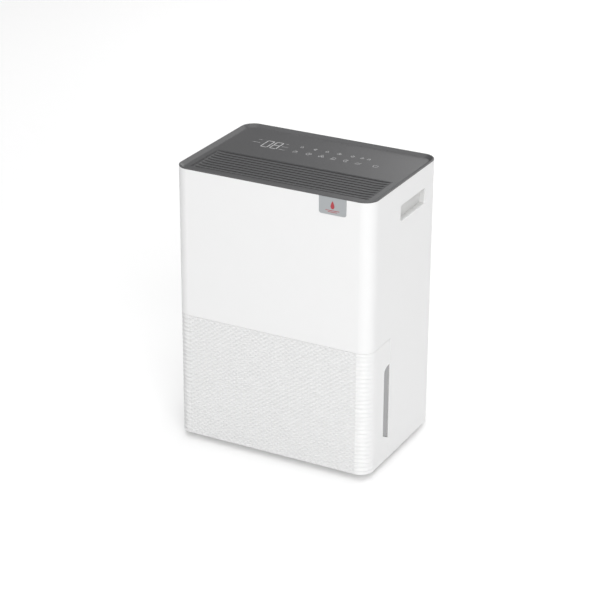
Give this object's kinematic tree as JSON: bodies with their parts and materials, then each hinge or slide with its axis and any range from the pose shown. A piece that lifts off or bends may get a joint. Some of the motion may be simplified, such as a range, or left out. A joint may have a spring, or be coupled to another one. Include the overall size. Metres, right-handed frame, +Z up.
{
  "type": "dehumidifier",
  "caption": "Upright compressor dehumidifier with a slatted outlet and touch panel on top, side grips, and a front tank with a patterned cover that slides out.",
  "frame": {"origin": "on the floor at the centre of the cabinet's footprint", "axes": "+Z up, -Y towards the front where the tank slides out, +X to the right seen from the front"},
  "size_m": [0.35, 0.2434, 0.481],
  "materials": {
    "white_abs": "satin moulded",
    "dark_grey_abs": "fine satin moulded",
    "slat_grey_abs": "satin moulded",
    "grey_abs": "matte moulded",
    "circuit_board": "solder-resist",
    "black_plastic": "matte moulded",
    "plated_steel": "zinc plated",
    "brushed_badge": "brushed",
    "foot_plastic": "matte moulded",
    "black_rubber": "matte",
    "tank_plastic": "translucent",
    "lid_plastic": "satin moulded",
    "smoke_window": "smoked translucent",
    "coil_aluminium": "mill finish",
    "copper_tube": "drawn copper",
    "galvanised_plate": "galvanised",
    "black_enamel": "baked enamel",
    "duct_plastic": "matte moulded",
    "motor_case": "plated",
    "capacitor_can": "drawn",
    "filter_net": "woven net",
    "clear_hose": "soft pvc",
    "pale_ink": "printed under the panel",
    "red_ink": "printed on the badge"
  },
  "bodies": {
    "cabinet": {"front_casing": "white_abs", "rear_cover": "white_abs", "top_cover": "dark_grey_abs", "control_overlay": "dark_grey_abs", "outlet_grille": "slat_grey_abs", "display_pcb": "circuit_board", "display_digits": "black_plastic", "touch_springs": "plated_steel", "badge_plate": "brushed_badge", "base_pan": "grey_abs", "feet": "foot_plastic", "foot_pads": "black_rubber", "left_grip_cup": "grey_abs", "right_grip_cup": "grey_abs", "bay_wall": "grey_abs", "deck": "grey_abs", "tank_switch": "black_plastic", "drip_tray": "black_plastic", "evaporator_fins": "coil_aluminium", "evaporator_tubes": "copper_tube", "condenser_fins": "coil_aluminium", "condenser_tubes": "copper_tube", "coil_end_plates": "galvanised_plate", "compressor": "black_enamel", "compressor_grommets": "black_rubber", "compressor_bolts": "plated_steel", "terminal_cover": "black_plastic", "accumulator": "black_enamel", "suction_pipe": "copper_tube", "discharge_pipe": "copper_tube", "filter_drier": "copper_tube", "capillary_tube": "copper_tube", "fan_scroll": "black_plastic", "orifice_plate": "black_plastic", "fan_motor": "motor_case", "control_box": "galvanised_plate", "main_pcb": "circuit_board", "capacitor": "capacitor_can", "humidity_sensor": "duct_plastic", "drain_recess": "grey_abs", "drain_spigot": "grey_abs", "drain_hose": "clear_hose", "cord_gland": "black_rubber", "rear_screws": "plated_steel"},
    "tank": {"water_tank": "tank_plastic", "tank_front_cover": "white_abs", "level_windows": "smoke_window", "tank_lid": "lid_plastic"},
    "handle": {"tank_handle": "lid_plastic"},
    "float": {"tank_float": "lid_plastic"},
    "lever": {"switch_lever": "lid_plastic"},
    "fan": {"fan_shaft": "plated_steel", "fan_wheel": "black_plastic"},
    "filter": {"filter_frame": "white_abs", "filter_mesh": "filter_net"}
  },
  "joints": [
    {"name": "tank_slide", "type": "slide", "parent": "cabinet", "child": "tank", "axis": [0, -1, 0], "range_m": [0, 0.14]},
    {"name": "handle_hinge", "type": "hinge", "parent": "tank", "child": "handle", "pos_m": [0, -0.03, 0.16], "axis": [-1, 0, 0], "range_deg": [0, 66]},
    {"name": "float_hinge", "type": "hinge", "parent": "tank", "child": "float", "pos_m": [0.11, -0.008, 0.14], "axis": [-1, 0, 0], "range_deg": [0, 18]},
    {"name": "lever_hinge", "type": "hinge", "parent": "cabinet", "child": "lever", "pos_m": [-0.12, 0.0075, 0.152], "axis": [1, 0, 0], "range_deg": [0, 8], "stiffness_Nm_per_rad": 0.02},
    {"name": "fan_spin", "type": "hinge", "parent": "cabinet", "child": "fan", "pos_m": [0, -0.06, 0.352], "axis": [0, 1, 0], "continuous": true},
    {"name": "filter_slide", "type": "slide", "parent": "cabinet", "child": "filter", "axis": [0, 1, 0], "range_m": [0, 0.04]}
  ]
}
